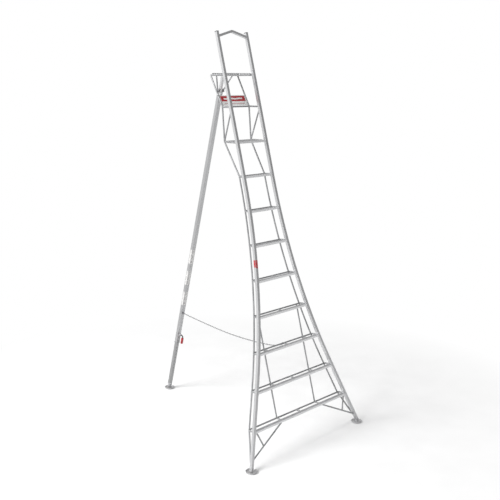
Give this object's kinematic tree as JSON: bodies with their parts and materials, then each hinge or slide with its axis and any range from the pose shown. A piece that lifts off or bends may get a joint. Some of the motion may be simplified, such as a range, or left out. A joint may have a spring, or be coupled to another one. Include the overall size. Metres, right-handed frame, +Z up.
{
  "type": "orchard tripod ladder",
  "caption": "Flared aluminium platform ladder with a hinged telescopic third leg, tool tray, spreader chain and tilting disc feet.",
  "frame": {"origin": "on the ground at the middle of the standing ladder's footprint, halfway between the two front feet and the rear foot", "axes": "+Z up, +X to the climber's right, +Y from the climber towards the third leg"},
  "size_m": [1.4972, 1.998, 3.5559],
  "materials": {
    "stile_aluminium": "satin extruded",
    "ribbed_aluminium": "ribbed extruded",
    "rod_aluminium": "mill finish bar",
    "leg_aluminium": "satin extruded",
    "foot_aluminium": "pressed, worn",
    "zinc_steel": "zinc plated",
    "zinc_chain": "zinc plated",
    "black_steel": "black paint",
    "black_plastic": "moulded",
    "red_grip": "dipped vinyl",
    "plate_enamel": "white and red enamel"
  },
  "bodies": {
    "ladder_frame": {"handrail": "stile_aluminium", "hinge_bolt": "zinc_steel", "hinge_nut": "zinc_steel", "hinge_post": "stile_aluminium", "hinge_spacers": "zinc_steel", "knee_frame": "rod_aluminium", "knee_struts": "rod_aluminium", "left_brace": "rod_aluminium", "left_centre_strut": "rod_aluminium", "left_foot_pin": "zinc_steel", "left_foot_plug": "foot_aluminium", "left_side_rod": "rod_aluminium", "left_stile": "stile_aluminium", "name_plate": "plate_enamel", "plate_rivets": "ribbed_aluminium", "platform_rail": "ribbed_aluminium", "platform_rod": "rod_aluminium", "platform_slats": "ribbed_aluminium", "post_struts": "rod_aluminium", "right_brace": "rod_aluminium", "right_centre_strut": "rod_aluminium", "right_foot_pin": "zinc_steel", "right_foot_plug": "foot_aluminium", "right_side_rod": "rod_aluminium", "right_stile": "stile_aluminium", "spreader_chain": "zinc_chain", "stile_caps": "black_plastic", "tool_tray": "stile_aluminium", "tray_frame": "rod_aluminium", "tread_1": "ribbed_aluminium", "tread_1_rod": "rod_aluminium", "tread_2": "ribbed_aluminium", "tread_2_rod": "rod_aluminium", "tread_3": "ribbed_aluminium", "tread_3_rod": "rod_aluminium", "tread_4": "ribbed_aluminium", "tread_4_rod": "rod_aluminium", "tread_5": "ribbed_aluminium", "tread_5_rod": "rod_aluminium", "tread_6": "ribbed_aluminium", "tread_6_rod": "rod_aluminium", "tread_7": "ribbed_aluminium", "tread_7_rod": "rod_aluminium", "tread_8": "ribbed_aluminium", "tread_8_rod": "rod_aluminium", "tread_chain_clip": "zinc_chain", "tread_ties": "rod_aluminium"},
    "rear_leg": {"outer_leg": "leg_aluminium", "leg_end_bush": "rod_aluminium", "lock_housing": "zinc_steel", "lock_spring": "zinc_steel", "leg_chain_eye": "zinc_chain"},
    "leg_extension": {"inner_leg": "leg_aluminium", "rear_foot_plug": "foot_aluminium", "rear_foot_pin": "zinc_steel"},
    "lock": {"lock_pin": "black_steel", "pull_grip": "red_grip"},
    "rear_foot": {"rear_foot_pad": "foot_aluminium"},
    "left_foot": {"left_foot_pad": "foot_aluminium"},
    "right_foot": {"right_foot_pad": "foot_aluminium"}
  },
  "joints": [
    {"name": "leg_hinge", "type": "hinge", "parent": "ladder_frame", "child": "rear_leg", "pos_m": [0, 0.14227, 3.035], "axis": [1, 0, 0], "range_deg": [-32, 0], "deforming": ["spreader_chain"]},
    {"name": "leg_slide", "type": "slide", "parent": "rear_leg", "child": "leg_extension", "axis": [0, 0.2588, -0.9659], "range_m": [-0.44, 0.36]},
    {"name": "lock_pull", "type": "slide", "parent": "rear_leg", "child": "lock", "axis": [0, -0.9659, -0.2588], "range_m": [-0.006, 0.004], "stiffness_N_per_m": 600, "deforming": ["lock_spring"]},
    {"name": "left_foot_tilt", "type": "hinge", "parent": "ladder_frame", "child": "left_foot", "pos_m": [-0.69763, -0.948, 0.028], "axis": [1, 0, 0], "range_deg": [-20, 20]},
    {"name": "right_foot_tilt", "type": "hinge", "parent": "ladder_frame", "child": "right_foot", "pos_m": [0.69763, -0.948, 0.028], "axis": [1, 0, 0], "range_deg": [-20, 20]},
    {"name": "rear_foot_tilt", "type": "hinge", "parent": "leg_extension", "child": "rear_foot", "pos_m": [0, 0.948, 0.028], "axis": [1, 0, 0], "range_deg": [-20, 20]}
  ]
}
